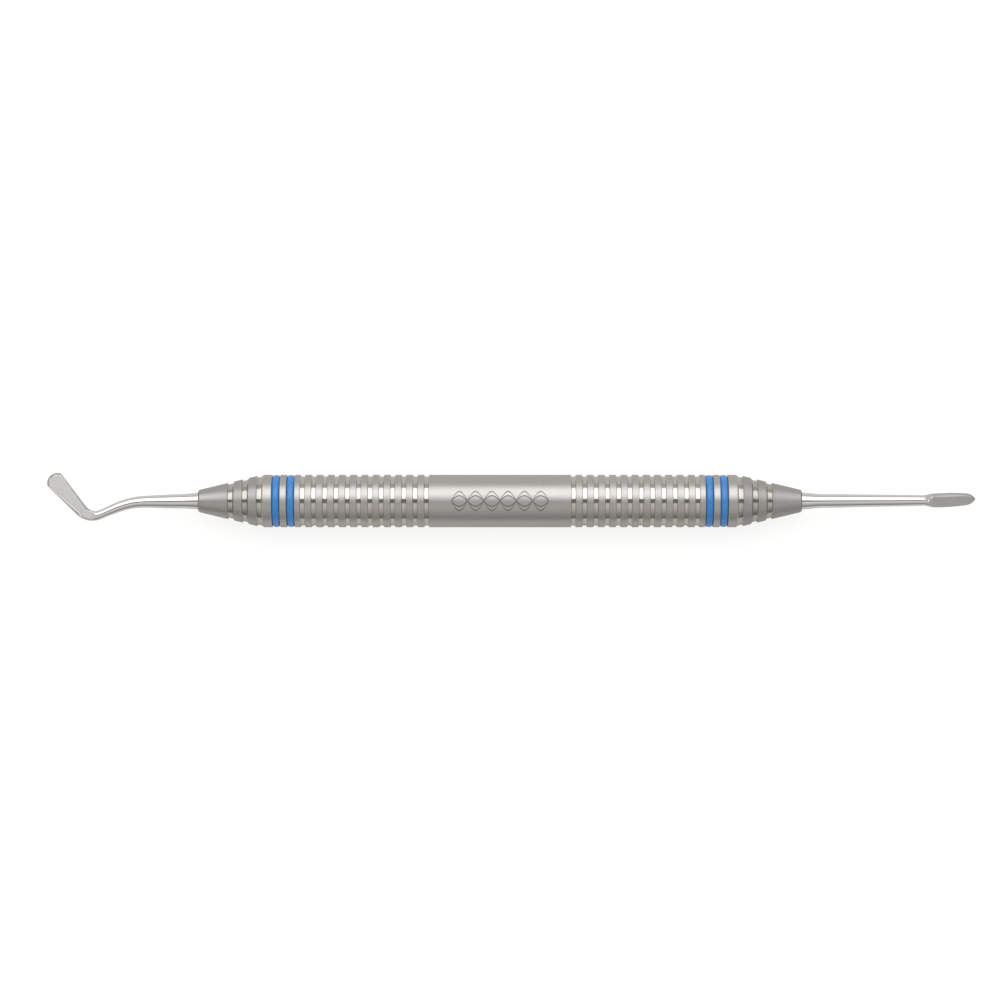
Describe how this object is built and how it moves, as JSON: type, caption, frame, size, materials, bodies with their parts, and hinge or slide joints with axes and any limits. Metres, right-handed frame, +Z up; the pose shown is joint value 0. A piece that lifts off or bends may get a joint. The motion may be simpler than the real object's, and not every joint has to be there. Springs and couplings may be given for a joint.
{
  "type": "dental elevator",
  "caption": "Double-ended dental elevator: hollow grooved steel handle with tapered nose cones and blue silicone rings, an angled spatula at one end and a lance blade at the other.",
  "frame": {"origin": "the point on the ground plane under the middle of the handle, on the handle's lowest flat", "axes": "+X along the handle towards the lance end, +Y to the side that the spatula turns to, +Z up, which is the way both blade faces look"},
  "size_m": [0.1686, 0.0099, 0.0095],
  "materials": {
    "satin_steel": "satin blasted stainless steel with polished turned grooves",
    "polished_steel": "polished stainless steel shank with finely ground blade faces",
    "blue_silicone": "smooth satin silicone rubber"
  },
  "bodies": {
    "handle": {"handle_barrel": "satin_steel", "end_cone_left": "satin_steel", "end_cone_right": "satin_steel", "spatula_end": "polished_steel", "lance_end": "polished_steel"},
    "ring_left_outer": {"ring_left_outer": "blue_silicone"},
    "ring_left_inner": {"ring_left_inner": "blue_silicone"},
    "ring_right_inner": {"ring_right_inner": "blue_silicone"},
    "ring_right_outer": {"ring_right_outer": "blue_silicone"}
  },
  "joints": [
    {"name": "ring_left_outer_turn", "type": "hinge", "parent": "handle", "child": "ring_left_outer", "pos_m": [-0.04051, 0, 0.00474], "axis": [1, 0, 0], "continuous": true},
    {"name": "ring_left_inner_turn", "type": "hinge", "parent": "handle", "child": "ring_left_inner", "pos_m": [-0.03786, 0, 0.00474], "axis": [1, 0, 0], "continuous": true},
    {"name": "ring_right_inner_turn", "type": "hinge", "parent": "handle", "child": "ring_right_inner", "pos_m": [0.03786, 0, 0.00474], "axis": [1, 0, 0], "continuous": true},
    {"name": "ring_right_outer_turn", "type": "hinge", "parent": "handle", "child": "ring_right_outer", "pos_m": [0.04051, 0, 0.00474], "axis": [1, 0, 0], "continuous": true}
  ]
}
